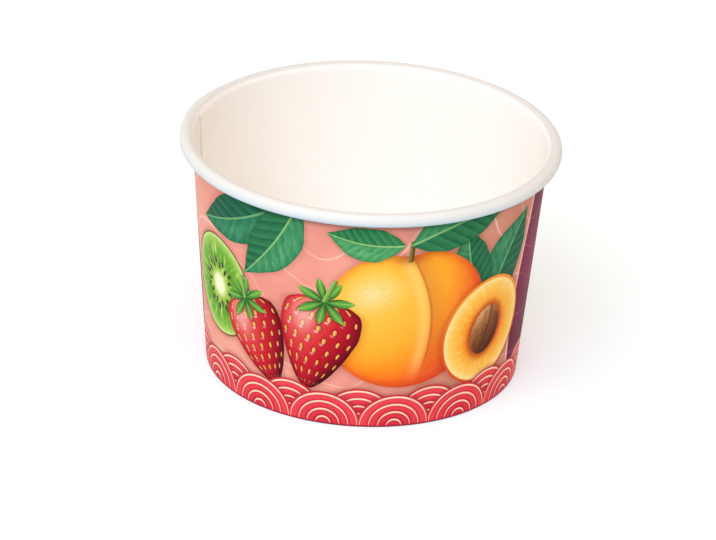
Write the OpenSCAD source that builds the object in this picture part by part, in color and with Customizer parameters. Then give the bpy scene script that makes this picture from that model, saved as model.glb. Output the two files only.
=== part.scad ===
// Paper ice cream cup: a wrapped, lapped and heat-sealed sidewall of coated
// board with a rolled rim and a folded foot, and a base disc held in that foot.
// Millimetres, +Z up. The origin is the centre of the ring that the cup stands on.

/* [Cup] */
// Outside diameter over the rolled rim
rim_d = 90; // [70:0.5:120]
// Height over all, from the table to the top of the rim
cup_h = 58; // [45:0.5:90]
// Outside diameter at the foot
base_d = 74.2; // [60:0.2:76]

/* [Board] */
// Thickness of the sidewall board
wall_t = 0.38; // [0.28:0.01:0.45]
// Thickness of the base board
base_t = 0.35; // [0.25:0.01:0.42]
// Film of coating between sealed faces
seal_gap = 0.03; // [0.02:0.01:0.06]

/* [Rim] */
// Outside diameter of the rolled rim's section
curl_d = 3.4; // [2.8:0.1:4]
// Air left between the turns of the roll
curl_gap = 0.1; // [0.06:0.01:0.2]
// How far the roll's third turn goes round, in degrees
curl_tail = 110; // [40:5:130]

/* [Foot] */
// Height of the base disc's underside above the table
recess_h = 6.5; // [5:0.1:9]
// Height of the folded hem inside the foot
hem_h = 5.6; // [4:0.1:6]
// Radius of the fold's outer corners
fold_r = 0.42; // [0.3:0.02:0.5]

/* [Seam] */
// Width of the side seam's lap
lap_w = 7; // [4:0.5:10]
// Where the lap's inner raw edge lies, in degrees round from +X
seam_at = 167; // [10:1:350]
// Depth of the line that the inner raw edge leaves inside
edge_line = 0.14; // [0.08:0.02:0.2]

/* [Hidden] */
$fn = 144;

print_colour = [0.93, 0.62, 0.54];
board_white = [0.97, 0.95, 0.92];

// Centre and radius of the first turn of the roll, in the section (radius, height)
roll_r = curl_d / 2;
roll_c = [rim_d / 2 - roll_r, cup_h - roll_r];

// Lean of the wall: its inner face runs tangent into the roll, and its outer
// face starts from the foot's edge.
foot_r = base_d / 2;
lean = acos((roll_r - wall_t) / norm([roll_c[0] - foot_r, roll_c[1]]))
     - atan2(roll_c[1], roll_c[0] - foot_r);
inward = [-cos(lean), sin(lean)];

// Radius of a surface that lies k inside the wall's outer face, at height z
function face_r(k, z) = foot_r + z * tan(lean) - k / cos(lean);

// Points on an arc
function arc(c, r, a0, a1, n) =
    [for (i = [0:n]) let (a = a0 + (a1 - a0) * i / n) c + r * [cos(a), sin(a)]];

// Channel in the foot for the base's skirt
channel_w = base_t + 2 * seal_gap;
foot_w = 2 * wall_t + channel_w;
foot_top = hem_h;

// Second and third turns of the roll: each keeps the edge it starts from and is smaller
turn2_r = roll_r - (wall_t + curl_gap) / 2;
turn2_c = roll_c + [roll_r - turn2_r, 0];
turn3_r = roll_r - wall_t - curl_gap;
turn3_c = turn2_c - [turn2_r - turn3_r, 0];

lap_deg = lap_w / (rim_d / 2 - curl_d) * 180 / PI;

// Part of a ring of board, t thick, from angle a0 to a1 (under 180 degrees)
module curl_band(c, r, t, a0, a1) {
    far = 3 * r;
    mid = (a0 + a1) / 2;
    translate(c) intersection() {
        difference() {
            circle(r);
            circle(r - t);
        }
        polygon([[0, 0],
                 far * [cos(a0), sin(a0)],
                 far * [cos((a0 + mid) / 2), sin((a0 + mid) / 2)],
                 far * [cos(mid), sin(mid)],
                 far * [cos((a1 + mid) / 2), sin((a1 + mid) / 2)],
                 far * [cos(a1), sin(a1)]]);
    }
}

// Straight run of the wall, from the foot to where the roll begins
module wall_section() {
    polygon([[face_r(0, foot_top), foot_top],
             roll_c + (roll_r - wall_t) * inward,
             roll_c + roll_r * inward,
             [face_r(wall_t, foot_top), foot_top]]);
}

// The rolled rim: over the top, down and round, and back up inside
module rim_section() {
    curl_band(roll_c, roll_r, wall_t, 90, 180 - lean);
    curl_band(roll_c, roll_r, wall_t, 0, 90);
    curl_band(turn2_c, turn2_r, wall_t, 270, 360);
    curl_band(turn2_c, turn2_r, wall_t, 180, 270);
    curl_band(turn3_c, turn3_r, wall_t, 180 - curl_tail, 180);
}

// The foot: down, in under the skirt, and up again as the hem
module foot_section() {
    floor_z = wall_t;
    polygon(concat(
        [[face_r(0, foot_top), foot_top]],
        arc([face_r(0, fold_r) - fold_r, fold_r], fold_r, 0, -90, 6),
        arc([face_r(foot_w, fold_r) + fold_r, fold_r], fold_r, -90, -180, 6),
        [[face_r(foot_w, foot_top), foot_top],
         [face_r(foot_w - wall_t, foot_top), foot_top],
         [face_r(foot_w - wall_t, floor_z), floor_z],
         [face_r(wall_t, floor_z), floor_z],
         [face_r(wall_t, foot_top), foot_top]]));
}

// The outer lap of the seam: one more layer of board on the outside of the wall
module lap_section() {
    z0 = 2 * fold_r;
    z1 = turn2_c[1] - turn2_r - curl_gap;
    polygon([[face_r(0, z0), z0],
             [face_r(-wall_t, z0 + wall_t), z0 + wall_t],
             [face_r(-wall_t, z1), z1],
             [face_r(0, z1), z1]]);
}

// The same extra layer where the seam runs over the rim
module rim_lap_section() {
    curl_band(roll_c, roll_r + wall_t / 2, wall_t / 2, 0, 90);
    curl_band(roll_c, roll_r + wall_t / 2, wall_t / 2, 90, 150);
}

// Line left by the inner raw edge of the seam
module edge_line_section() {
    z0 = recess_h + 2;
    z1 = roll_c[1] - 0.4;
    polygon([[face_r(wall_t - edge_line, z0), z0],
             [face_r(wall_t - edge_line, z1), z1],
             [face_r(wall_t + edge_line, z1), z1],
             [face_r(wall_t + edge_line, z0), z0]]);
}

module sidewall() {
    color(print_colour) difference() {
        union() {
            rotate_extrude() {
                wall_section();
                rim_section();
                foot_section();
            }
            rotate_extrude(angle = lap_deg, start = seam_at - lap_deg) lap_section();
            rotate_extrude(angle = lap_deg, start = seam_at - lap_deg) rim_lap_section();
        }
        rotate_extrude(angle = 0.35, start = seam_at) edge_line_section();
    }
}

// Base disc with its edge turned down into a skirt that follows the wall's lean
module base_disc() {
    out_k = wall_t + seal_gap;
    in_k = out_k + base_t;
    top_z = recess_h + base_t;
    bend_o = 0.8;
    bend_i = bend_o - base_t;
    skirt_z = 2 * (wall_t + seal_gap); // clear of the doubled board at the seam
    bend_c = [face_r(out_k, top_z - bend_o) - bend_o, top_z - bend_o];
    color(board_white) rotate_extrude()
        polygon(concat(
            [[0, top_z]],
            arc(bend_c, bend_o, 90, 0, 8),
            [[face_r(out_k, skirt_z), skirt_z], [face_r(in_k, skirt_z), skirt_z]],
            arc(bend_c, bend_i, 0, 90, 8),
            [[0, recess_h]]));
}

sidewall();
base_disc();
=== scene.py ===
import math

import bpy
import numpy as np
from mathutils import Matrix, Vector


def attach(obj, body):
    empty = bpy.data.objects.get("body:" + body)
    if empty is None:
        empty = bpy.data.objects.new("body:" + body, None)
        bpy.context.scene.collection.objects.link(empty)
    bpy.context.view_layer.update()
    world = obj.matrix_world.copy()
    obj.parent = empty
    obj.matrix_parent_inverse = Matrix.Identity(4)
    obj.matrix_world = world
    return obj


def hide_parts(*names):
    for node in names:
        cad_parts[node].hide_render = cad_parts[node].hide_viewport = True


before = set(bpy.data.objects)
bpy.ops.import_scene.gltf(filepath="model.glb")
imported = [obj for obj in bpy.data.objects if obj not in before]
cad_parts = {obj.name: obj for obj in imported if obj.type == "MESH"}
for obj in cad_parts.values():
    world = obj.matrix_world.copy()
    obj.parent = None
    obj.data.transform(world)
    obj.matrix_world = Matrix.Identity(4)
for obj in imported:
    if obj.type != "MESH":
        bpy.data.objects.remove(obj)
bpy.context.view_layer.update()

MM = 0.001

# ---------------------------------------------------------------------------
# Sizes, in millimetres, as in the CAD
# ---------------------------------------------------------------------------
RIM_D, CUP_H, BASE_D = 90.0, 58.0, 74.2
WALL_T, BASE_T, SEAL_GAP = 0.38, 0.35, 0.03
CURL_D, CURL_GAP, CURL_TAIL = 3.4, 0.10, 110.0
RECESS_H, HEM_H, FOLD_R = 6.5, 5.6, 0.42
LAP_W, SEAM_AT = 7.0, 167.0

FOOT_R = BASE_D / 2
ROLL_R = CURL_D / 2
ROLL_C = np.array([RIM_D / 2 - ROLL_R, CUP_H - ROLL_R])
LEAN = math.acos((ROLL_R - WALL_T) / math.hypot(ROLL_C[0] - FOOT_R, ROLL_C[1])) - math.atan2(
    ROLL_C[1], ROLL_C[0] - FOOT_R
)
TAN, COS = math.tan(LEAN), math.cos(LEAN)
LEAN_DEG = math.degrees(LEAN)
CHANNEL = BASE_T + 2 * SEAL_GAP
FOOT_W = 2 * WALL_T + CHANNEL
TURN2_R = ROLL_R - (WALL_T + CURL_GAP) / 2
TURN3_R = ROLL_R - WALL_T - CURL_GAP
LAP_DEG = math.degrees(LAP_W / (RIM_D / 2 - CURL_D))


def face_r(k, z):
    return FOOT_R + z * TAN - k / COS


def smooth(a, b, x):
    t = np.clip((np.asarray(x, float) - a) / (b - a), 0, 1)
    return t * t * (3 - 2 * t)


def lin(r, g, b):
    """Display colour, 0 to 255, as scene-linear."""
    out = []
    for v in (r, g, b):
        v /= 255
        out.append(v / 12.92 if v <= 0.04045 else ((v + 0.055) / 1.055) ** 2.4)
    return tuple(out)


# ---------------------------------------------------------------------------
# Camera: fitted to the cup's outline
# ---------------------------------------------------------------------------
IMG_W, IMG_H = 716, 540
FOCAL_PX, DIST = 5430.9274, 28.6180332 * 0.045
EL, ROLL, TX, TY = 0.446741957, -0.0462312378, -0.00131428510, 0.00438142766

back = np.array([0, -math.cos(EL), math.sin(EL)])
right = np.array([1.0, 0, 0])
rows = np.stack([right, np.cross(right, -back), back])
rx = np.array([[1, 0, 0], [0, math.cos(TY), -math.sin(TY)], [0, math.sin(TY), math.cos(TY)]])
ry = np.array([[math.cos(TX), 0, math.sin(TX)], [0, 1, 0], [-math.sin(TX), 0, math.cos(TX)]])
rz = np.array([[math.cos(ROLL), -math.sin(ROLL), 0], [math.sin(ROLL), math.cos(ROLL), 0], [0, 0, 1]])
turn = rz @ rx @ ry @ rows
cam_data = bpy.data.cameras.new("camera")
cam_data.sensor_width = 36
cam_data.lens = FOCAL_PX / IMG_W * 36
cam_data.clip_start, cam_data.clip_end = 0.05, 50
cam = bpy.data.objects.new("camera", cam_data)
bpy.context.scene.collection.objects.link(cam)
place = Matrix.Identity(4)
for i in range(3):
    for j in range(3):
        place[i][j] = turn[j][i]
where = back * DIST + np.array([0, 0, CUP_H / 2 * MM])
for i in range(3):
    place[i][3] = where[i]
cam.matrix_world = place
bpy.context.scene.camera = cam


# ---------------------------------------------------------------------------
# Node building
# ---------------------------------------------------------------------------
class Graph:
    """Small helpers that add nodes to one material, or to a tree given, and return their output sockets."""

    def __init__(self, name, tree=None):
        if tree is None:
            self.mat = bpy.data.materials.new(name)
            self.mat.use_nodes = True
            tree = self.mat.node_tree
            tree.nodes.clear()
            self.out = tree.nodes.new("ShaderNodeOutputMaterial")
        self.nt = tree

    def node(self, kind, **props):
        n = self.nt.nodes.new(kind)
        for k, v in props.items():
            setattr(n, k, v)
        return n

    def put(self, socket, value):
        if isinstance(value, bpy.types.NodeSocket):
            self.nt.links.new(value, socket)
        elif isinstance(value, (tuple, list)):
            socket.default_value = (*value, 1.0) if socket.type == "RGBA" and len(value) == 3 else value
        else:
            socket.default_value = value

    def m(self, op, a, b=None, c=None, clamp=False):
        n = self.node("ShaderNodeMath", operation=op, use_clamp=clamp)
        for s, v in zip(n.inputs, (a, b, c)):
            if v is not None:
                self.put(s, v)
        return n.outputs[0]

    def add(self, a, b):
        return self.m("ADD", a, b)

    def sub(self, a, b):
        return self.m("SUBTRACT", a, b)

    def mul(self, a, b):
        return self.m("MULTIPLY", a, b)

    def mad(self, a, b, c):
        return self.m("MULTIPLY_ADD", a, b, c)

    def abs(self, a):
        return self.m("ABSOLUTE", a)

    def hyp(self, a, b):
        return self.m("SQRT", self.add(self.mul(a, a), self.mul(b, b)))

    def bell(self, x, width):
        """1 at x = 0, falling off over width."""
        q = self.mul(x, 1 / width)
        return self.m("EXPONENT", self.mul(self.mul(q, q), -1.0))

    def ss(self, x, e0, e1, lo=0.0, hi=1.0):
        n = self.node("ShaderNodeMapRange", interpolation_type="SMOOTHSTEP", clamp=True)
        for s, v in zip(n.inputs, (x, e0, e1, lo, hi)):
            self.put(s, v)
        return n.outputs[0]

    def lerp(self, x, a0, a1, b0, b1):
        n = self.node("ShaderNodeMapRange", clamp=True)
        for s, v in zip(n.inputs, (x, a0, a1, b0, b1)):
            self.put(s, v)
        return n.outputs[0]

    def curve(self, x, points):
        n = self.node("ShaderNodeFloatCurve")
        c = n.mapping.curves[0]
        while len(c.points) < len(points):
            c.points.new(0.5, 0.5)
        for p, (px, py) in zip(c.points, points):
            p.location = (px, py)
            p.handle_type = "AUTO_CLAMPED"
        n.mapping.use_clip = True
        n.mapping.update()
        n.inputs[0].default_value = 1.0
        self.put(n.inputs[1], x)
        return n.outputs[0]

    def ramp(self, x, stops, mode="LINEAR"):
        n = self.node("ShaderNodeValToRGB")
        e = n.color_ramp.elements
        while len(e) < len(stops):
            e.new(0.5)
        for el, (p, c) in zip(e, stops):
            el.position = p
            el.color = (*c, 1.0)
        n.color_ramp.interpolation = mode
        self.put(n.inputs[0], x)
        return n.outputs[0]

    def mix(self, f, a, b, blend="MIX"):
        n = self.node("ShaderNodeMix", data_type="RGBA", blend_type=blend, clamp_factor=True)
        self.put(n.inputs[0], f)
        self.put(n.inputs[6], a)
        self.put(n.inputs[7], b)
        return n.outputs[2]

    def mixf(self, f, a, b):
        n = self.node("ShaderNodeMix", data_type="FLOAT", clamp_factor=True)
        self.put(n.inputs[0], f)
        self.put(n.inputs[2], a)
        self.put(n.inputs[3], b)
        return n.outputs[0]

    def xyz(self, v):
        n = self.node("ShaderNodeSeparateXYZ")
        self.put(n.inputs[0], v)
        return n.outputs[0], n.outputs[1], n.outputs[2]

    def vec(self, x, y, z=0.0):
        n = self.node("ShaderNodeCombineXYZ")
        for s, v in zip(n.inputs, (x, y, z)):
            self.put(s, v)
        return n.outputs[0]

    def attr(self, name):
        return self.node("ShaderNodeAttribute", attribute_name=name).outputs["Vector"]

    def noise(self, v, scale, detail=2.0, rough=0.5, distort=0.0):
        n = self.node("ShaderNodeTexNoise")
        self.put(n.inputs["Vector"], v)
        n.inputs["Scale"].default_value = scale
        n.inputs["Detail"].default_value = detail
        n.inputs["Roughness"].default_value = rough
        n.inputs["Distortion"].default_value = distort
        return n.outputs[0]

    def bump(self, height, strength, distance, normal=None):
        n = self.node("ShaderNodeBump")
        n.inputs["Strength"].default_value = strength
        n.inputs["Distance"].default_value = distance
        self.put(n.inputs["Height"], height)
        if normal is not None:
            self.put(n.inputs["Normal"], normal)
        return n.outputs[0]

    def surface(self, **values):
        n = self.node("ShaderNodeBsdfPrincipled")
        for k, v in values.items():
            self.put(n.inputs[k.replace("_", " ")], v)
        self.nt.links.new(n.outputs[0], self.out.inputs["Surface"])
        return n


# ---------------------------------------------------------------------------
# The print: where each motif lies. Angles are in degrees round from the front,
# positive to the right; heights are up the wall from the foot, in millimetres.
# The set repeats on the other side of the cup.
# ---------------------------------------------------------------------------
REPEAT = 180.0


class Motif:
    """One motif: its middle (or a leaf's base), its turn, its half sizes, a tone, and the box that it needs."""

    def __init__(self, at, up, turn, sx, sy, tone=0.5, box=(-1.25, 1.25, -1.25, 1.25)):
        self.at, self.up, self.turn = at, up, math.radians(turn)
        self.sx, self.sy, self.tone, self.box = sx, sy, tone, box

    def local(self, at, up, radius):
        x = np.radians((at - self.at + REPEAT / 2) % REPEAT - REPEAT / 2) * radius
        y = up - self.up
        c, s = math.cos(self.turn), math.sin(self.turn)
        return (x * c + y * s) / self.sx, (-x * s + y * c) / self.sy


def leaf(at, up, turn, length, half, tone):
    return Motif(at, up, turn, length, half, tone, box=(-0.12, 1.12, -1.7, 1.7))


LAYERS = {
    "leaf_back": [
        leaf(-26, 57, 205, 33, 6.6, 0.22),
        leaf(46, 27, 62, 27, 6.8, 0.3),
    ],
    "kiwi": [Motif(-59, 27.5, 12, 12.2, 13.0)],
    "leaf_mid": [
        leaf(-22, 58, 236, 28, 6.2, 0.45),
        leaf(44, 30, 108, 23, 5.6, 0.4),
    ],
    "peach": [Motif(15, 29.5, 6, 20.2, 18.6, box=(-1.15, 1.15, -1.15, 1.4))],
    "half": [Motif(47, 22.0, -14, 12.6, 14.0)],
    "berry_back": [Motif(-38, 18.5, 24, 8.8, 11.2, 0.5, box=(-1.3, 1.3, -1.2, 1.6))],
    "berry_front": [Motif(-16, 21.5, -10, 10.0, 12.6, 0.5, box=(-1.3, 1.3, -1.2, 1.6))],
    "leaf_front": [
        leaf(14.5, 49.0, 14, 27, 6.0, 0.5),
        leaf(13.0, 49.0, 172, 19, 4.4, 0.7),
    ],
}


# ---------------------------------------------------------------------------
# Sidewall: one sheet wrapped round with its ends lapped, rolled outwards at the
# top and folded in and up at the foot. Each station has a point on the printed
# face and one on the white face.
# ---------------------------------------------------------------------------
LIFT = WALL_T + 0.01  # how far one layer of the lap stands off the other


def stations():
    """(part, t) for each station of the section, from the hem's end to the roll's end."""
    out = [("hem", t) for t in np.linspace(0, 1, 6)]
    out += [("fold", t) for t in np.linspace(0, 1, 13)[1:]]
    out += [("wall", t) for t in np.linspace(0, 1, 45)[1:]]
    out += [("turn1", t) for t in np.linspace(0, 1, 25)[1:]]
    out += [("turn2", t) for t in np.linspace(0, 1, 23)[1:]]
    out += [("turn3", t) for t in np.linspace(0, 1, 9)[1:]]
    return out


STATIONS = stations()


def section(o=0.0, c=0.0, g=0.0, rise=0.0, span=1.0, h=0.0, f=0.0):
    """Printed and white points (radius, height) of each station.
    o: how far the wall stands out; c, g, rise: the roll's shift out, growth and rise; span: how much of the roll there
    is past its outermost point; h: the hem's shift in; f: how far the fold stands off the table."""
    printed, white = [], []
    rc = ROLL_C + np.array([c, rise])
    r1 = ROLL_R + g
    top_o = c - g / COS  # the wall's shift where it meets the roll
    inward = np.array([-COS, math.sin(LEAN)])
    p_top, w_top = rc + (r1 - WALL_T) * inward, rc + r1 * inward
    hem_k = FOOT_W + h
    for part, t in STATIONS:
        if part == "hem":
            z = HEM_H + (FOLD_R * 1.2 + f - HEM_H) * t
            printed.append((face_r(hem_k, z), z))
            zw = HEM_H + (WALL_T + f - HEM_H) * t
            white.append((face_r(hem_k - WALL_T, zw), zw))
        elif part == "fold":
            # round the two outer corners; the white face has the channel's square floor
            ci = np.array([face_r(hem_k, FOLD_R + f) + FOLD_R, FOLD_R + f])
            co = np.array([face_r(-o, FOLD_R + f) - FOLD_R, FOLD_R + f])
            if t <= 0.5:
                a = math.radians(180 + 90 * t / 0.5)
                q = ci + FOLD_R * np.array([math.cos(a), math.sin(a)])
            else:
                a = math.radians(270 + 90 * (t - 0.5) / 0.5)
                q = co + FOLD_R * np.array([math.cos(a), math.sin(a)])
            printed.append(tuple(q))
            r0, r1w = face_r(hem_k - WALL_T, WALL_T + f), face_r(WALL_T - o, WALL_T + f)
            white.append((r0 + (r1w - r0) * t, WALL_T + f))
        elif part == "wall":
            z0p, z0w = FOLD_R + f, WALL_T + f
            zp = z0p + (p_top[1] - z0p) * t
            zw = z0w + (w_top[1] - z0w) * t
            k = smooth(47.0, 55.0, zp)
            shift = o + (top_o - o) * k
            printed.append((face_r(-shift, zp), zp))
            k = smooth(47.0, 55.0, zw)
            shift = o + (top_o - o) * k
            white.append((face_r(WALL_T - shift, zw), zw))
        elif part == "turn1":
            a = math.radians(180 - LEAN_DEG + (0 - (180 - LEAN_DEG)) * t)
            d = np.array([math.cos(a), math.sin(a)])
            printed.append(tuple(rc + (r1 - WALL_T) * d))
            white.append(tuple(rc + r1 * d))
        else:
            # under and back up, then over again inside; each turn is smaller than the last
            swept = (180 * t if part == "turn2" else 180 + CURL_TAIL * t) * span
            r2 = TURN2_R + g
            cr = rc + np.array([r1 - r2, 0])
            if swept > 180:
                r3 = TURN3_R + g
                cr, r2 = cr - np.array([r2 - r3, 0]), r3
            a = math.radians(360 - swept)
            d = np.array([math.cos(a), math.sin(a)])
            printed.append(tuple(cr + (r2 - WALL_T) * d))
            white.append(tuple(cr + r2 * d))
    return np.array(printed), np.array(white)


def columns():
    """Degrees along the sheet, from its inner end round to its outer end, closer together at the lap.
    The sheet runs round from the seam by way of the back and the right."""
    a1 = 360 + LAP_DEG
    near = np.arange(0, 26, 0.6)
    far = np.arange(a1 - 24, a1 + 1e-6, 0.6)
    n = round((far[0] - near[-1]) / 1.2)
    middle = np.linspace(near[-1], far[0], n + 1)[1:-1]
    return np.concatenate([near, middle, far])


def wobble(a, seed, amp):
    """A slow, small unevenness round the cup, the same on both layers of the lap."""
    r = np.random.default_rng(seed)
    t = math.radians(a)
    return sum(
        amp * r.uniform(0.4, 1.0) / k**0.5 * math.sin(k * t + r.uniform(0, 6.283)) for k in (2, 3, 5, 7, 11, 17)
    )


COLS = columns()
N_ST, N_COL = len(STATIONS), len(COLS)
printed_co = np.zeros((N_COL, N_ST, 3))
white_co = np.zeros((N_COL, N_ST, 3))
for i, a in enumerate(COLS):
    o = g = h = f = k = 0.0
    span = 1.0
    if a < 90:  # the inner layer's end: it stands on the outer one's fold, and its roll goes round less far
        k = float(1 - smooth(LAP_DEG + 0.3, LAP_DEG + 16, a))
        g, f = 0.28 * k, LIFT * k
        span = 1 - 0.64 * float(1 - smooth(LAP_DEG + 0.3, LAP_DEG + 12, a))
    elif a > 270:  # the outer layer's end
        k = float(smooth(360 - 11, 360 - 0.5, a))
        o, h, g = LIFT * k, LIFT * k, (0.28 - LIFT) * k
    azimuth = SEAM_AT - a
    rise = wobble(azimuth, 5, 0.022) - 0.112 * k
    out_r = wobble(azimuth, 9, 0.03)
    P, W = section(o, 0.08 * k, g, rise, span, h, f)
    t = math.radians(azimuth)
    # the wall's slight unevenness fades out at the foot
    for pts, dst in ((P, printed_co), (W, white_co)):
        r = pts[:, 0] + out_r * smooth(6, 50, pts[:, 1])
        dst[i, :, 0], dst[i, :, 1], dst[i, :, 2] = r * math.cos(t), r * math.sin(t), pts[:, 1]

part_of = [p for p, _ in STATIONS]

# arc length up the printed face of a plain column, zero at the foot's outer corner
plainP, plainW = section()
arcP = np.concatenate([[0], np.cumsum(np.hypot(*np.diff(plainP, axis=0).T))])
arcW = np.concatenate([[0], np.cumsum(np.hypot(*np.diff(plainW, axis=0).T))])
foot_i = max(i for i, p in enumerate(part_of) if p == "fold")
up = arcP - arcP[foot_i] + FOLD_R
print_r = plainP[:, 0]

verts = np.concatenate([printed_co.reshape(-1, 3), white_co.reshape(-1, 3)]) * MM
OFF = N_COL * N_ST


def vid(i, j, white_side):
    return i * N_ST + j + (OFF if white_side else 0)


faces, kind, fij = [], [], []
PRINT, BOARD, EDGE = 0, 1, 2
HEM_PRINT_END = -2.2  # the ink stops a little way up the hem
for i in range(N_COL - 1):
    for j in range(N_ST - 1):
        faces.append((vid(i, j, 0), vid(i, j + 1, 0), vid(i + 1, j + 1, 0), vid(i + 1, j, 0)))
        mid = (up[j] + up[j + 1]) / 2
        inked = mid > HEM_PRINT_END and part_of[j + 1] in ("hem", "fold", "wall")
        kind.append(PRINT if inked else BOARD)
        fij.append((i, j, 0))
        faces.append((vid(i, j, 1), vid(i + 1, j, 1), vid(i + 1, j + 1, 1), vid(i, j + 1, 1)))
        kind.append(BOARD)
        fij.append((i, j, 1))
    for j, flip in ((0, False), (N_ST - 1, True)):
        q = (vid(i, j, 0), vid(i, j, 1), vid(i + 1, j, 1), vid(i + 1, j, 0))
        faces.append(q if flip else q[::-1])
        kind.append(EDGE)
        fij.append((i, j, 2))
for i, flip in ((0, True), (N_COL - 1, False)):
    for j in range(N_ST - 1):
        q = (vid(i, j, 0), vid(i, j, 1), vid(i, j + 1, 1), vid(i, j + 1, 0))
        faces.append(q if flip else q[::-1])
        kind.append(EDGE)
        fij.append((i, j, 3 if flip else 4))

me = bpy.data.meshes.new("sidewall_board")
me.from_pydata([tuple(v) for v in verts], [], faces)
me.validate()
me.update()
side = bpy.data.objects.new("sidewall_board", me)
bpy.context.scene.collection.objects.link(side)

# Face corners in mesh order, with each one's column and station
n_loop = len(me.loops)
loop_v = np.zeros(n_loop, int)
me.loops.foreach_get("vertex_index", loop_v)
loop_i = (loop_v % OFF) // N_ST
loop_j = (loop_v % OFF) % N_ST
n_face = len(me.polygons)
loop_face = np.repeat(np.arange(n_face), 4)
kind = np.array(kind)
fij = np.array(fij)
me.polygons.foreach_set("material_index", kind.astype(np.int32))

at_all = (SEAM_AT + 90.0 - COLS)[loop_i]
up_all = up[loop_j]
rad_all = print_r[loop_j]


def corner_attribute(name, data):
    a = me.attributes.new(name, "FLOAT_VECTOR", "CORNER")
    a.data.foreach_set("vector", np.ascontiguousarray(data, np.float32).ravel())


# where a point of the print is: degrees from the front, height, and length round
corner_attribute("print_at", np.stack([at_all, up_all, np.radians(at_all) * rad_all], 1))

face_at = at_all.reshape(-1, 4).mean(1)
face_up = up_all.reshape(-1, 4).mean(1)
face_r_mid = rad_all.reshape(-1, 4).mean(1)
for layer, motifs in LAYERS.items():
    best = np.full(n_face, 1e9)
    data = np.zeros((n_loop, 3))
    for mo in motifs:
        x, y = mo.local(face_at, face_up, face_r_mid)
        b = mo.box
        d = np.maximum(
            np.abs(x - (b[0] + b[1]) / 2) / ((b[1] - b[0]) / 2), np.abs(y - (b[2] + b[3]) / 2) / ((b[3] - b[2]) / 2)
        )
        take = d < best
        best = np.where(take, d, best)
        lx, ly = mo.local(at_all, up_all, rad_all)
        # a face on the far side of the repeat would be torn across it
        sel = np.repeat(take, 4)
        data[sel] = np.stack([lx, ly, np.full(n_loop, mo.tone)], 1)[sel]
    outside = np.repeat(best > 1.0, 4)
    data[outside, 0], data[outside, 1] = 9.0, 9.0
    corner_attribute(layer, data)

# Layout for baked maps: the printed wall in four pieces, then the white faces and edges in strips
uv = np.zeros((n_loop, 2))
span = COLS[-1] - COLS[0]
quarter = np.minimum(((COLS[-1] - (COLS[:-1] + COLS[1:]) / 2) / span * 4).astype(int), 3)
face_i = np.minimum(fij[:, 0], N_COL - 2)
fq = np.repeat(quarter[face_i], 4)
wall_first = min(j for j, p in enumerate(part_of) if p == "wall") - 1
wall_last = max(j for j, p in enumerate(part_of) if p == "wall")
PAD = 0.006
fl = np.repeat(fij[:, 2], 4)
fj = np.repeat(fij[:, 1], 4)
along = (COLS[-1] - COLS[loop_i]) / span
on_wall = (fl == 0) & (fj >= wall_first) & (fj < wall_last)
tile_h = 0.405
u_in = along * 4 - fq
v_in = (up_all - up[wall_first]) / (up[wall_last] - up[wall_first])
uv[on_wall, 0] = ((fq % 2) * 0.5 + PAD + u_in * (0.5 - 2 * PAD))[on_wall]
uv[on_wall, 1] = ((fq // 2) * tile_h + PAD + v_in * (tile_h - 2 * PAD))[on_wall]


def strip(mask, v, v0, v1):
    uv[mask, 0] = (PAD + along * (1 - 2 * PAD))[mask]
    uv[mask, 1] = (v0 + v * (v1 - v0))[mask]


arc_w = arcW[loop_j]
in_wall = (fl == 1) & (fj >= wall_first) & (fj < wall_last)
strip(in_wall, (arc_w - arcW[wall_first]) / (arcW[wall_last] - arcW[wall_first]), 0.815, 0.905)
turn2_last = max(j for j, p in enumerate(part_of) if p == "turn2")
in_roll = (fl == 1) & (fj >= wall_last) & (fj < turn2_last)
strip(in_roll, (arc_w - arcW[wall_last]) / (arcW[turn2_last] - arcW[wall_last]), 0.911, 0.958)
in_tail = (fl == 1) & (fj >= turn2_last)
strip(in_tail, (arc_w - arcW[turn2_last]) / (arcW[-1] - arcW[turn2_last]), 0.9905, 0.9935)
in_foot = (fl == 1) & (fj < wall_first)
strip(in_foot, (arc_w - arcW[0]) / (arcW[wall_first] - arcW[0]), 0.962, 0.966)
out_foot = (fl == 0) & (fj < wall_first)
strip(out_foot, (up_all - up[0]) / (up[wall_first] - up[0]), 0.969, 0.982)
out_roll = (fl == 0) & (fj >= wall_last)
strip(out_roll, (up_all - up[wall_last]) / (up[-1] - up[wall_last]), 0.985, 0.988)
white_corner = (loop_v >= OFF).astype(float)
hem_edge = (fl == 2) & (fj == 0)
strip(hem_edge, white_corner, 0.9955, 0.9975)
roll_edge = (fl == 2) & (fj == N_ST - 1)
strip(roll_edge, white_corner, 0.9985, 0.9995)
for code, u0 in ((3, 0.9945), (4, 0.9975)):
    sel = fl == code
    uv[sel, 0] = (u0 + white_corner * 0.002)[sel]
    uv[sel, 1] = (0.01 + (loop_j / (N_ST - 1)) * 0.79)[sel]
bake = me.uv_layers.new(name="OFBake")
bake.data.foreach_set("uv", uv.astype(np.float32).ravel())

for p in me.polygons:
    p.use_smooth = True
me.set_sharp_from_angle(angle=math.radians(38))

# ---------------------------------------------------------------------------
# Base disc: flat board with its edge turned down into the skirt
# ---------------------------------------------------------------------------
BEND = 0.8
TOP_Z = RECESS_H + BASE_T
out_k = WALL_T + SEAL_GAP
in_k = out_k + BASE_T
skirt_z = 2 * (WALL_T + SEAL_GAP)
bend_c = np.array([face_r(out_k, TOP_Z - BEND) - BEND, TOP_Z - BEND])


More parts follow.
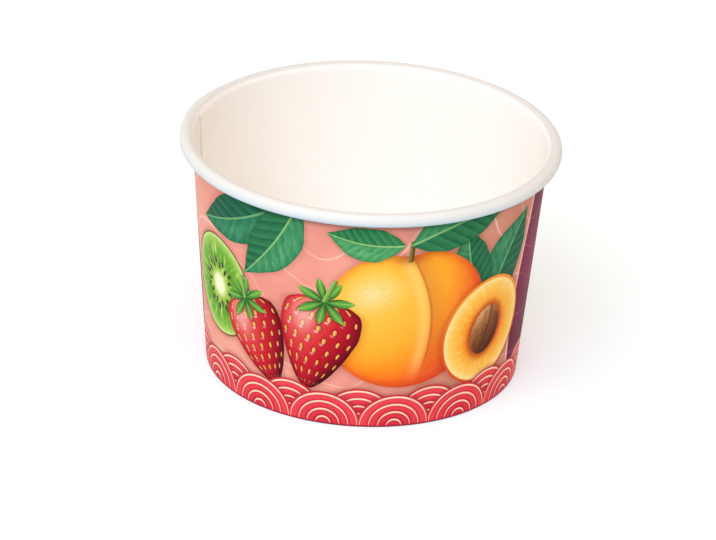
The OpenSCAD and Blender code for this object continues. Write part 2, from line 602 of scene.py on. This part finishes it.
def base_loop():
    """Top and under points of each station, from the middle out and down the skirt."""
    top, low = [], []
    for t in np.linspace(0, 1, 26)[1:]:
        r = bend_c[0] * t
        top.append((r, TOP_Z))
        low.append((r, RECESS_H))
    for a in np.linspace(90, 0, 9)[1:]:
        d = np.array([math.cos(math.radians(a)), math.sin(math.radians(a))])
        top.append(tuple(bend_c + BEND * d))
        low.append(tuple(bend_c + (BEND - BASE_T) * d))
    z0 = bend_c[1]
    for t in np.linspace(0, 1, 8)[1:]:
        z = z0 + (skirt_z - z0) * t
        top.append((face_r(out_k, z), z))
        low.append((face_r(in_k, z), z))
    return np.array(top), np.array(low)


b_top, b_low = base_loop()
NB, NC = len(b_top), 192
bv = [(0, 0, TOP_Z), (0, 0, RECESS_H)]
for i in range(NC):
    t = 2 * math.pi * i / NC
    for pts in (b_top, b_low):
        for r, z in pts:
            # a faint bow, less than the board's own thickness
            bow = 0.16 * (1 - min(r / bend_c[0], 1) ** 2) + 0.05 * math.sin(2 * t + 0.6) * (r / 36) * max(0, 1 - r / 36)
            bv.append((r * math.cos(t), r * math.sin(t), z + bow if z > 6 else z))
bow0 = 0.16
bv[0] = (0, 0, TOP_Z + bow0)
bv[1] = (0, 0, RECESS_H + bow0)


def bid(i, j, low):
    return 2 + (i % NC) * 2 * NB + (NB if low else 0) + j


bf = []
for i in range(NC):
    bf.append((0, bid(i, 0, 0), bid(i + 1, 0, 0)))
    bf.append((1, bid(i + 1, 0, 1), bid(i, 0, 1)))
    for j in range(NB - 1):
        bf.append((bid(i, j, 0), bid(i, j + 1, 0), bid(i + 1, j + 1, 0), bid(i + 1, j, 0)))
        bf.append((bid(i, j, 1), bid(i + 1, j, 1), bid(i + 1, j + 1, 1), bid(i, j + 1, 1)))
    bf.append((bid(i, NB - 1, 0), bid(i, NB - 1, 1), bid(i + 1, NB - 1, 1), bid(i + 1, NB - 1, 0)))
bme = bpy.data.meshes.new("base_board")
bme.from_pydata([(x * MM, y * MM, z * MM) for x, y, z in bv], [], bf)
bme.validate()
bme.update()
base = bpy.data.objects.new("base_board", bme)
bpy.context.scene.collection.objects.link(base)
for p in bme.polygons:
    p.use_smooth = True
bme.set_sharp_from_angle(angle=math.radians(38))

# ---------------------------------------------------------------------------
# Materials
# ---------------------------------------------------------------------------

def leaf_art(g, name):
    x, y, tone = g.xyz(g.attr(name))
    bow = g.m("SINE", g.mul(x, math.pi))
    yy = g.sub(y, g.mul(bow, 0.22))
    ay = g.abs(yy)
    w = g.curve(x, [(0, 0.0), (0.05, 0.22), (0.2, 0.72), (0.4, 1.0), (0.6, 0.93), (0.8, 0.55), (0.93, 0.18), (1, 0.0)])
    inside_x = g.mul(g.ss(x, -0.002, 0.002), g.ss(x, 1.002, 0.998))
    d = g.sub(ay, w)
    mask = g.mul(g.ss(d, 0.012, -0.012), inside_x)
    near = g.mul(g.ss(d, 0.32, -0.05), g.mul(g.ss(x, -0.06, 0.06), g.ss(x, 1.06, 0.9)))
    dark = g.mix(tone, lin(4, 60, 54), lin(38, 120, 68))
    light = g.mix(tone, lin(28, 126, 98), lin(108, 196, 118))
    # veins sweep forward from the midrib
    q = g.m("FRACT", g.sub(g.mul(x, 9.0), g.mul(ay, 1.9)))
    fold = g.ss(q, 0.0, 1.0)
    half = g.ss(yy, -0.03, 0.03)
    streak = g.noise(g.vec(g.sub(g.mul(x, 5.0), g.mul(ay, 1.05)), g.mul(yy, 0.7), tone), 5.0, 3.0, 0.6)
    tone_f = g.add(g.mul(fold, 0.30), g.add(g.mul(half, 0.34), g.mad(g.sub(1.0, x), 0.12, g.mul(g.sub(streak, 0.5), 0.42))))
    col = g.mix(tone_f, dark, light)
    vein = g.mul(g.ss(g.abs(g.sub(q, 0.5)), 0.465, 0.50), g.ss(d, 0.0, -0.25))
    col = g.mix(g.mul(vein, 0.45), col, light)
    sheen = g.mul(g.bell(g.sub(yy, g.mul(w, 0.50)), 0.24), g.mul(g.ss(x, 0.12, 0.45), g.ss(x, 0.95, 0.6)))
    col = g.mix(g.mul(g.mul(sheen, g.ss(streak, 0.35, 0.65)), 0.34), col, g.mix(tone, lin(70, 164, 124), lin(164, 222, 148)))
    rib = g.ss(ay, g.mad(x, -0.05, 0.075), 0.02)
    col = g.mix(g.mul(rib, 0.75), col, g.mix(tone, lin(96, 170, 118), lin(196, 228, 140)))
    rim = g.ss(d, -0.14, 0.0)
    col = g.mix(g.mul(rim, 0.38), col, dark)
    return mask, col, near


def kiwi_art(g, name):
    x, y, tone = g.xyz(g.attr(name))
    r = g.hyp(x, y)
    ang = g.m("ARCTAN2", y, x)
    mask = g.ss(r, 1.006, 0.994)
    near = g.ss(r, 1.14, 0.98)
    ray = g.noise(g.vec(g.m("COSINE", ang), g.m("SINE", ang), g.mul(r, 0.25)), 9.0, 3.0, 0.6)
    rr = g.add(r, g.mul(g.sub(ray, 0.5), 0.10))
    col = g.ramp(
        rr,
        [
            (0.0, lin(244, 246, 214)),
            (0.17, lin(236, 240, 190)),
            (0.27, lin(160, 198, 68)),
            (0.48, lin(92, 152, 34)),
            (0.74, lin(112, 172, 50)),
            (0.90, lin(164, 204, 96)),
            (0.945, lin(200, 224, 142)),
        ],
    )
    spoke = g.ss(ray, 0.52, 0.66)
    col = g.mix(g.mul(spoke, g.mul(g.ss(r, 0.2, 0.35), g.ss(r, 0.9, 0.7))), col, lin(196, 222, 122))
    # seeds in a ring, pointing out
    k = 22
    cell = g.mul(ang, k / (2 * math.pi))
    fa = g.sub(g.m("FRACT", g.add(cell, 100.0)), 0.5)
    odd = g.m("MODULO", g.m("FLOOR", g.add(cell, 100.0)), 2.0)
    sx = g.mul(g.mul(fa, r), 2 * math.pi / k / 0.034)
    sy = g.mul(g.sub(r, g.mad(odd, 0.085, 0.385)), 1 / 0.062)
    sd = g.hyp(sx, sy)
    col = g.mix(g.mul(g.ss(sd, 1.9, 0.8), 0.5), col, lin(84, 132, 36))
    col = g.mix(g.ss(sd, 1.06, 0.94), col, lin(34, 26, 22))
    col = g.mix(g.mul(g.ss(g.hyp(g.add(sx, 0.25), g.sub(sy, 0.3)), 0.45, 0.2), 0.6), col, lin(190, 190, 150))
    skin = g.ss(r, 0.955, 0.972)
    col = g.mix(skin, col, g.mix(g.ss(r, 0.965, 1.0), lin(150, 112, 64), lin(96, 66, 36)))
    return mask, col, near


def peach_art(g, name):
    x, y, tone = g.xyz(g.attr(name))
    dip = g.mul(g.bell(g.sub(x, 0.07), 0.24), g.ss(y, 0.2, 0.95))
    r = g.hyp(x, g.mad(dip, 0.10, y))
    mask = g.ss(r, 1.004, 0.996)
    near = g.ss(r, 1.10, 0.98)
    nz = g.m("SQRT", g.m("MAXIMUM", g.sub(1.0, g.mul(r, r)), 0.0))
    light = g.add(g.add(g.mul(x, -0.36), g.mul(y, 0.44)), g.mul(nz, 0.82))
    mott = g.noise(g.vec(x, y, 0.3), 3.2, 3.0, 0.55)
    light = g.add(light, g.mul(g.sub(mott, 0.5), 0.10))
    col = g.ramp(
        g.lerp(light, -0.35, 1.0, 0.0, 1.0),
        [
            (0.0, lin(208, 58, 24)),
            (0.28, lin(238, 100, 22)),
            (0.52, lin(252, 142, 28)),
            (0.74, lin(255, 172, 44)),
            (0.92, lin(255, 188, 64)),
            (1.0, lin(255, 202, 92)),
        ],
    )
    blush = g.ss(g.add(g.sub(g.mul(x, 0.80), g.mul(y, 0.34)), g.mul(g.sub(mott, 0.5), 0.55)), 0.12, 1.0)
    col = g.mix(g.mul(blush, 0.72), col, lin(232, 72, 48))
    # cleft from the stalk's hollow to the tip
    line = g.mul(g.m("COSINE", g.mul(y, 1.52)), 0.24)
    d = g.sub(x, g.add(line, 0.05))
    keep = g.mul(g.ss(y, -0.98, -0.55), g.ss(y, 1.0, 0.8))
    col = g.mix(g.mul(g.mul(g.mul(g.ss(d, 0.34, 0.0), g.ss(d, -0.012, 0.012)), keep), 0.40), col, lin(196, 66, 30))
    col = g.mix(g.mul(g.mul(g.bell(g.add(d, 0.09), 0.07), keep), 0.35), col, lin(255, 224, 140))
    col = g.mix(g.mul(g.mul(g.bell(d, 0.018), keep), 0.55), col, lin(170, 52, 26))
    hollow = g.mul(g.bell(g.sub(x, 0.07), 0.20), g.bell(g.sub(y, 0.90), 0.12))
    col = g.mix(g.mul(hollow, 0.75), col, lin(150, 62, 22))
    shine = g.bell(g.hyp(g.add(x, 0.38), g.mul(g.sub(y, 0.40), 1.25)), 0.22)
    fuzz = g.noise(g.vec(x, y, 0.8), 46.0, 2.0, 0.6)
    col = g.mix(g.mul(g.mul(shine, g.ss(fuzz, 0.25, 0.75)), 0.52), col, lin(255, 246, 222))
    col = g.mix(g.mul(g.ss(fuzz, 0.5, 0.72), 0.10), col, lin(255, 226, 150))
    edge = g.ss(r, 0.86, 1.0)
    col = g.mix(g.mul(edge, 0.32), col, lin(206, 70, 34))
    # stalk
    sx = g.sub(x, g.mad(g.sub(y, 0.85), 0.16, 0.075))
    stalk = g.mul(g.ss(g.abs(sx), 0.036, 0.026), g.mul(g.ss(y, 0.80, 0.82), g.ss(y, 1.12, 1.10)))
    col = g.mix(stalk, col, g.mix(g.ss(sx, -0.03, 0.03), lin(132, 128, 62), lin(72, 62, 30)))
    return g.m("MAXIMUM", mask, stalk), col, near


def half_art(g, name):
    x, y, tone = g.xyz(g.attr(name))
    r = g.hyp(x, y)
    ang = g.m("ARCTAN2", y, x)
    mask = g.ss(r, 1.006, 0.994)
    near = g.ss(r, 1.16, 0.98)
    ray = g.noise(g.vec(g.m("COSINE", ang), g.m("SINE", ang), g.mul(r, 0.5)), 10.0, 3.0, 0.6)
    rr = g.add(r, g.mul(g.sub(ray, 0.5), 0.16))
    col = g.ramp(
        rr,
        [
            (0.36, lin(214, 86, 30)),
            (0.47, lin(244, 140, 40)),
            (0.62, lin(253, 178, 62)),
            (0.82, lin(255, 204, 96)),
            (0.92, lin(255, 224, 148)),
        ],
    )
    col = g.mix(g.mul(g.ss(ray, 0.55, 0.7), g.mul(g.ss(r, 0.45, 0.6), 0.5)), col, lin(255, 222, 140))
    skin = g.ss(r, 0.935, 0.955)
    col = g.mix(skin, col, g.mix(g.ss(y, -0.6, 0.7), lin(222, 84, 40), lin(248, 150, 52)))
    # stone
    sx, sy = g.mul(x, 1 / 0.36), g.mul(g.sub(y, 0.0), 1 / 0.46)
    s = g.hyp(sx, sy)
    col = g.mix(g.mul(g.ss(s, 1.35, 1.0), 0.7), col, lin(168, 54, 26))
    grain = g.noise(g.vec(g.mul(sx, 1.6), g.mul(sy, 0.8), 0.2), 4.0, 4.0, 0.7, 0.8)
    lit = g.add(g.add(g.mul(sx, -0.35), g.mul(sy, 0.35)), g.mul(grain, 0.9))
    stone = g.ramp(
        g.lerp(lit, 0.0, 0.95, 0.0, 1.0),
        [(0.0, lin(70, 34, 18)), (0.45, lin(128, 74, 40)), (0.8, lin(176, 118, 70)), (1.0, lin(214, 164, 108))],
    )
    seam = g.bell(g.sub(sx, g.mul(g.m("COSINE", g.mul(sy, 1.5)), 0.14)), 0.07)
    stone = g.mix(g.mul(seam, 0.7), stone, lin(62, 30, 16))
    col = g.mix(g.ss(s, 1.02, 0.97), col, stone)
    return mask, col, near


def berry_art(g, name):
    x, y, tone = g.xyz(g.attr(name))
    t = g.mad(y, 0.5, 0.5)  # 0 at the tip, 1 at the top
    w = g.curve(
        t,
        [(0, 0.0), (0.03, 0.16), (0.12, 0.36), (0.3, 0.63), (0.5, 0.85), (0.7, 0.98), (0.84, 0.95), (0.94, 0.72), (1, 0.0)],
    )
    d = g.sub(g.abs(x), w)
    in_y = g.mul(g.ss(t, 0.0, 0.004), g.ss(t, 1.0, 0.996))
    mask = g.mul(g.ss(d, 0.010, -0.010), in_y)
    near = g.mul(g.ss(d, 0.26, -0.04), g.mul(g.ss(t, -0.06, 0.05), g.ss(t, 1.1, 1.0)))
    xn = g.m("DIVIDE", x, g.m("MAXIMUM", w, 0.02))
    yn = g.mul(g.sub(t, 0.55), 1.75)
    rad2 = g.add(g.mul(g.mul(xn, xn), 0.82), g.mul(g.mul(yn, yn), 0.42))
    nz = g.m("SQRT", g.m("MAXIMUM", g.sub(1.0, rad2), 0.0))
    light = g.add(g.add(g.mul(xn, -0.34), g.mul(yn, 0.30)), g.mul(nz, 0.80))
    col = g.ramp(
        g.lerp(light, -0.3, 1.0, 0.0, 1.0),
        [
            (0.0, lin(54, 4, 18)),
            (0.25, lin(98, 8, 26)),
            (0.5, lin(154, 14, 34)),
            (0.75, lin(196, 30, 44)),
            (0.93, lin(222, 66, 66)),
            (1.0, lin(238, 114, 102)),
        ],
    )
    # seeds in staggered rows, closer together towards the edges as the fruit turns away
    u = g.add(xn, g.mul(g.mul(g.mul(xn, xn), xn), 0.30))
    v = g.mul(t, 8.2)
    row = g.m("FLOOR", v)
    cu = g.sub(g.m("FRACT", g.add(g.mul(u, 2.35), g.mad(g.m("MODULO", row, 2.0), 0.5, 50.0))), 0.5)
    cv = g.sub(g.m("FRACT", v), 0.5)
    sd = g.hyp(g.mul(cu, 1 / 0.13), g.mul(cv, 1 / 0.24))
    show = g.mul(g.ss(t, 0.04, 0.12), g.ss(g.abs(xn), 0.97, 0.88))
    pit = g.mul(g.ss(sd, 2.1, 0.9), show)
    col = g.mix(g.mul(pit, 0.55), col, lin(96, 10, 26))
    glint = g.mul(g.ss(g.hyp(g.mul(g.add(cu, 0.12), 1 / 0.15), g.mul(g.sub(cv, -0.34), 1 / 0.12)), 1.4, 0.3), show)
    col = g.mix(g.mul(glint, g.ss(light, 0.45, 0.95, 0.0, 0.75)), col, lin(255, 206, 190))
    seed = g.mul(g.ss(sd, 1.06, 0.94), show)
    col = g.mix(seed, col, g.mix(g.ss(cu, -0.10, 0.12), lin(240, 200, 104), lin(190, 118, 46)))
    shine = g.bell(g.hyp(g.add(xn, 0.42), g.mul(g.sub(yn, 0.35), 1.0)), 0.26)
    col = g.mix(g.mul(shine, 0.35), col, lin(255, 222, 212))
    col = g.mix(g.mul(g.ss(d, -0.16, 0.0), 0.30), col, lin(74, 8, 24))
    # leafy cap
    px, py = x, g.mul(g.sub(t, 0.965), 2.5)
    ca = g.m("ARCTAN2", py, px)
    cr = g.hyp(px, py)
    # seven pointed leaves round the stalk
    spread = g.mul(g.abs(g.sub(g.m("FRACT", g.mad(ca, 7 / (2 * math.pi), 10.3)), 0.5)), 2.0)
    lobe = g.sub(1.0, spread)
    reach = g.mad(g.m("POWER", g.m("MAXIMUM", lobe, 0.001), 0.62), 0.58, 0.13)
    reach = g.mul(reach, g.mad(g.abs(px), 0.25, 0.86))
    cap_d = g.sub(cr, reach)
    cap = g.ss(cap_d, 0.02, -0.02)
    cap_col = g.mix(g.ss(lobe, 0.1, 0.95), lin(30, 88, 40), lin(96, 164, 62))
    cap_col = g.mix(g.mul(g.ss(lobe, 0.90, 1.0), 0.6), cap_col, lin(170, 210, 116))
    cap_col = g.mix(g.mul(g.ss(cr, 0.30, 0.05), 0.6), cap_col, lin(40, 88, 38))
    col = g.mix(g.mul(g.ss(cap_d, 0.12, 0.0), 0.6), col, lin(58, 8, 20))
    col = g.mix(cap, col, cap_col)
    # stalk
    sx = g.sub(px, g.mul(g.m("MAXIMUM", py, 0.0), 0.25))
    stalk = g.mul(g.ss(g.abs(sx), 0.075, 0.055), g.mul(g.ss(py, -0.02, 0.02), g.ss(py, 0.66, 0.62)))
    col = g.mix(stalk, col, g.mix(g.ss(sx, -0.06, 0.06), lin(150, 190, 92), lin(78, 124, 52)))
    return g.m("MAXIMUM", g.m("MAXIMUM", mask, cap), stalk), col, near


def print_material():
    g = Graph("printed_board")
    at, y, s = g.xyz(g.attr("print_at"))
    flat = g.vec(s, y, 0.0)
    cloud = g.noise(flat, 0.045, 2.0, 0.5)
    col = g.mix(g.ss(cloud, 0.3, 0.7), lin(230, 145, 129), lin(241, 166, 147))
    # painted shade: the ground darker round to the right of the front, and the same on the far side, where less light
    # falls
    ground_shade = g.mad(g.m("COSINE", g.mul(g.sub(at, 52.0), math.pi / 90)), 0.5, 0.5)
    col = g.mix(g.ss(ground_shade, 0.25, 1.0), col, g.mix(g.ss(cloud, 0.3, 0.7), lin(204, 132, 112), lin(218, 150, 126)))

    # faint pale sweeps on the ground
    warp = g.noise(flat, 0.05, 1.0, 0.4)
    sweep = g.m("FRACT", g.add(g.mul(g.hyp(g.mul(g.m("COSINE", g.mul(g.sub(at, 30.0), math.pi / 90)), 26.0), g.sub(y, 62.0)), 0.115), g.mul(warp, 1.3)))
    sweep_line = g.ss(g.abs(g.sub(sweep, 0.5)), 0.035, 0.012)
    col = g.mix(g.mul(sweep_line, g.ss(cloud, 0.35, 0.6, 0.25, 0.75)), col, lin(252, 210, 194))

    # plum field at the seam and opposite it
    rep = g.sub(g.m("MODULO", g.add(at, 360.0 - 82.0 + 90.0), REPEAT), 90.0)
    edge = g.sub(g.abs(rep), g.add(15.5, g.mul(g.m("SINE", g.mul(y, 0.075)), 3.0)))
    col = g.mix(g.mul(g.ss(g.abs(g.sub(edge, 0.75)), 0.9, 0.3), 0.8), col, lin(246, 200, 186))
    plum = g.mix(g.ss(cloud, 0.3, 0.7), lin(102, 8, 46), lin(132, 22, 70))
    plum = g.mix(g.mul(sweep_line, 0.30), plum, lin(196, 96, 130))
    col = g.mix(g.ss(edge, 0.08, -0.08), col, plum)

    def over(col, art, name, depth=0.42):
        mask, ink, near = art(g, name)
        col = g.mix(g.mul(near, depth), col, (0.42, 0.22, 0.22), "MULTIPLY")
        return g.mix(mask, col, ink)

    col = over(col, leaf_art, "leaf_back", 0.25)
    col = over(col, kiwi_art, "kiwi")
    col = over(col, leaf_art, "leaf_mid", 0.32)
    col = over(col, peach_art, "peach", 0.36)
    col = over(col, half_art, "half")
    col = over(col, leaf_art, "leaf_front", 0.36)
    col = over(col, berry_art, "berry_back")
    col = over(col, berry_art, "berry_front")

    # foot band: two rows of overlapping scallops, each with cream arcs
    PITCH = 360 / 14

    def scallop(shift, centre_y, radius):
        f = g.sub(g.m("FRACT", g.add(g.mul(at, 1 / PITCH), 20.0 + shift)), 0.5)
        sx = g.mul(f, PITCH * math.pi / 180 * 38.0)
        sy = g.sub(y, centre_y)
        rad = g.hyp(sx, g.mul(sy, 1.06))
        ang = g.m("ARCTAN2", sx, sy)
        mask = g.ss(rad, radius + 0.05, radius - 0.05)
        ring = g.sub(radius, rad)
        q = g.m("FRACT", g.mul(ring, 1 / 2.15))
        wide = g.mul(g.ss(g.abs(ang), 1.75, 0.2), 0.085)
        line = g.mul(g.ss(g.abs(g.sub(q, 0.36)), g.add(wide, 0.045), wide), g.ss(ring, 0.3, 0.5))
        tone = g.add(g.mul(q, 0.45), g.mul(g.ss(ring, 8.5, 0.0), 0.45))
        red = g.mix(tone, lin(190, 24, 48), lin(240, 78, 86))
        red = g.mix(g.mul(g.ss(ring, 0.55, 0.05), 0.5), red, lin(148, 14, 40))
        return mask, g.mix(line, red, lin(252, 218, 188)), g.ss(rad, radius + 1.6, radius - 0.1)

    m1, c1, n1 = scallop(0.5, 2.6, 8.4)
    m2, c2, n2 = scallop(0.0, 0.4, 9.0)
    col = g.mix(g.mul(n1, 0.5), col, (0.40, 0.18, 0.20), "MULTIPLY")
    col = g.mix(m1, col, c1)
    col = g.mix(g.mul(n2, 0.45), col, (0.40, 0.18, 0.20), "MULTIPLY")
    col = g.mix(m2, col, c2)
    # below the last arc and round the fold
    col = g.mix(g.ss(y, 0.9, 0.3), col, lin(182, 36, 56))
    # painted shade: a thin dark line round the fold, where the foot meets the floor
    col = g.mix(g.ss(y, 0.50, 0.20), col, lin(104, 20, 38))
    col = g.mix(g.ss(y, -1.2, -1.9), col, lin(236, 232, 224))

    # printed board's fine cloth-like grain
    gx = g.m("SINE", g.mul(g.add(s, y), math.sqrt(2) * math.pi / 0.66))
    gy = g.m("SINE", g.mul(g.sub(s, y), math.sqrt(2) * math.pi / 0.66))
    weave = g.mul(g.add(gx, gy), 0.25)
    fibre = g.noise(flat, 2.6, 3.0, 0.6)
    grain = g.add(g.mul(weave, 0.55), g.sub(fibre, 0.5))
    col = g.mix(g.ss(grain, -0.30, 0.30, 0.0, 0.30), col, (0.72, 0.70, 0.70), "MULTIPLY")
    # painted shade: the print darker close under the roll
    col = g.mix(g.ss(y, 52.4, 54.2), col, (0.54, 0.55, 0.59), "MULTIPLY")
    height = g.add(g.mul(weave, 0.5), g.mul(fibre, 0.8))
    normal = g.bump(height, 0.30, 0.00005)
    rough = g.lerp(fibre, 0.3, 0.7, 0.40, 0.52)
    g.surface(Base_Color=col, Roughness=rough, Normal=normal, Specular_IOR_Level=0.05)
    return g.mat


def board_material(name, tint, warm, roll_from=None):
    g = Graph(name)
    pos = g.node("ShaderNodeNewGeometry").outputs["Position"]
    scaled = g.node("ShaderNodeVectorMath", operation="SCALE")
    g.put(scaled.inputs[0], pos)
    scaled.inputs["Scale"].default_value = 1000.0
    p = scaled.outputs[0]
    fibre = g.noise(p, 1.7, 4.0, 0.62)
    cloud = g.noise(p, 0.12, 2.0, 0.5)
    col = g.mix(g.ss(fibre, 0.35, 0.70, 0.0, 0.5), tint, warm)
    col = g.mix(g.ss(cloud, 0.30, 0.70, 0.0, 0.22), col, warm)
    fleck = g.noise(p, 0.9, 2.0, 0.5)
    col = g.mix(g.ss(fleck, 0.70, 0.78, 0.0, 0.20), col, lin(224, 212, 192))
    height = g.add(fibre, g.mul(cloud, 1.5))
    if roll_from is not None:
        # over the roll the board is a little greyer, graded across the roll as painted shade, with painted cool shade
        # underneath it, and fine lines across the roll
        at, up_at, s = g.xyz(g.attr("print_at"))
        roll = g.ss(up_at, roll_from + 0.55, roll_from + 1.35)
        # painted cool shade on the roll's underside
        under = g.ss(up_at, roll_from + 3.6, roll_from + 5.2)
        lines = g.noise(g.vec(g.mul(at, 1.3), g.mul(up_at, 0.10), 0.0), 1.0, 2.0, 0.6)
        # a greyer tone over the roll, graded across it as painted shade
        roll_grey_shade = g.ramp(
            g.lerp(up_at, roll_from, roll_from + 5.0, 0.0, 1.0),
            [
                (0.26, lin(219, 219, 220)),
                (0.38, lin(220, 220, 221)),
                (0.52, lin(225, 225, 225)),
                (0.60, lin(224, 224, 224)),
                (0.74, lin(217, 216, 215)),
            ],
        )
        roll_grey_shade = g.mix(g.ss(lines, 0.3, 0.7, 0.0, 0.14), roll_grey_shade, lin(244, 243, 243))
        roll_grey_shade = g.mix(under, roll_grey_shade, lin(178, 203, 220))
        col = g.mix(roll, col, roll_grey_shade)
        height = g.add(height, g.mul(g.mul(lines, roll), 0.12))
    normal = g.bump(height, 0.25, 0.00005)
    rough = g.lerp(fibre, 0.3, 0.7, 0.38, 0.50)
    g.surface(Base_Color=col, Roughness=rough, Normal=normal, Specular_IOR_Level=0.40)
    return g.mat


def edge_material():
    g = Graph("cut_edge")
    pos = g.node("ShaderNodeNewGeometry").outputs["Position"]
    scaled = g.node("ShaderNodeVectorMath", operation="SCALE")
    g.put(scaled.inputs[0], pos)
    scaled.inputs["Scale"].default_value = 1000.0
    fibre = g.noise(scaled.outputs[0], 5.0, 3.0, 0.6)
    inside = g.mix(fibre, lin(238, 229, 212), lin(246, 239, 226))
    # painted light and shade on the cut edge: lighter low down inside the cup, where it lies in shade, darker up over
    # the rim, where light falls on it
    col = g.mix(g.ss(g.xyz(scaled.outputs[0])[2], 54.5, 56.0), inside, g.mix(fibre, lin(218, 210, 198), lin(236, 230, 221)))
    g.surface(Base_Color=col, Roughness=g.lerp(fibre, 0.2, 0.8, 0.7, 0.9), Normal=g.bump(fibre, 0.4, 0.00008))
    return g.mat


me.materials.append(print_material())
me.materials.append(board_material("white_board", lin(251, 250, 249), lin(248, 244, 239), float(up[wall_last])))
me.materials.append(edge_material())
bme.materials.append(board_material("base_white_board", lin(249, 247, 243), lin(245, 240, 231)))

# ---------------------------------------------------------------------------
# Stage: pale floor, soft light
# ---------------------------------------------------------------------------
fme = bpy.data.meshes.new("floor")
S = 6.0
fme.from_pydata([(-S, -S, 0), (S, -S, 0), (S, S, 0), (-S, S, 0)], [], [(0, 1, 2, 3)])
floor = bpy.data.objects.new("floor", fme)
bpy.context.scene.collection.objects.link(floor)
fg = Graph("pale_floor")
fp = fg.node("ShaderNodeNewGeometry").outputs["Position"]
fcol = fg.mix(fg.noise(fp, 3.0, 2.0, 0.5), (0.58, 0.60, 0.61), (0.60, 0.62, 0.63))
fg.surface(
    Base_Color=fcol, Roughness=0.9, Specular_IOR_Level=0.1, Emission_Color=(0.83, 0.92, 1.0), Emission_Strength=0.50
)
fme.materials.append(fg.mat)

world = bpy.data.worlds.new("studio")
bpy.context.scene.world = world
world.use_nodes = True
bg = world.node_tree.nodes["Background"]
# warm from above, paler and cooler towards the horizon, and less of it from the right
wg = Graph("studio", world.node_tree)
wx, wy, wz = wg.xyz(wg.node("ShaderNodeTexCoord").outputs["Generated"])
horizon = wg.mix(wg.ss(wx, -0.2, 0.8), (0.88, 0.92, 0.96), (0.58, 0.58, 0.60))
wg.put(bg.inputs[0], wg.mix(wg.ss(wz, 0.10, 0.50), horizon, (1.0, 0.77, 0.52)))
bg.inputs[1].default_value = 0.83


def area(name, at, target, size, power, colour):
    d = bpy.data.lights.new(name, "AREA")
    d.shape = "DISK"
    d.size = size
    d.energy = power
    d.color = colour
    o = bpy.data.objects.new(name, d)
    o.location = at
    o.rotation_mode = "QUATERNION"
    o.rotation_quaternion = (Vector(target) - Vector(at)).to_track_quat("-Z", "Y")
    bpy.context.scene.collection.objects.link(o)
    return o


def round_the_cup(azimuth, elevation, distance):
    """A place seen from the cup: azimuth in degrees from the camera's side, positive to the right."""
    a, e = math.radians(azimuth), math.radians(elevation)
    return (distance * math.sin(a) * math.cos(e), -distance * math.cos(a) * math.cos(e), distance * math.sin(e) + 0.03)


area("key", round_the_cup(-21, 50, 1.9), (0, 0, 0.03), 1.8, 29.8, (0.67, 0.82, 1.0))

view = bpy.context.scene.view_settings
view.view_transform = "Standard"
view.look = "None"
view.exposure = 0.0
view.gamma = 1.0

# ---------------------------------------------------------------------------
# Pieces onto the body, in place of the CAD parts
# ---------------------------------------------------------------------------
for piece, node, slot in ((side, "sidewall", "printed_board"), (base, "base_disc", "white_board")):
    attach(piece, "root")
    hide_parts(node)
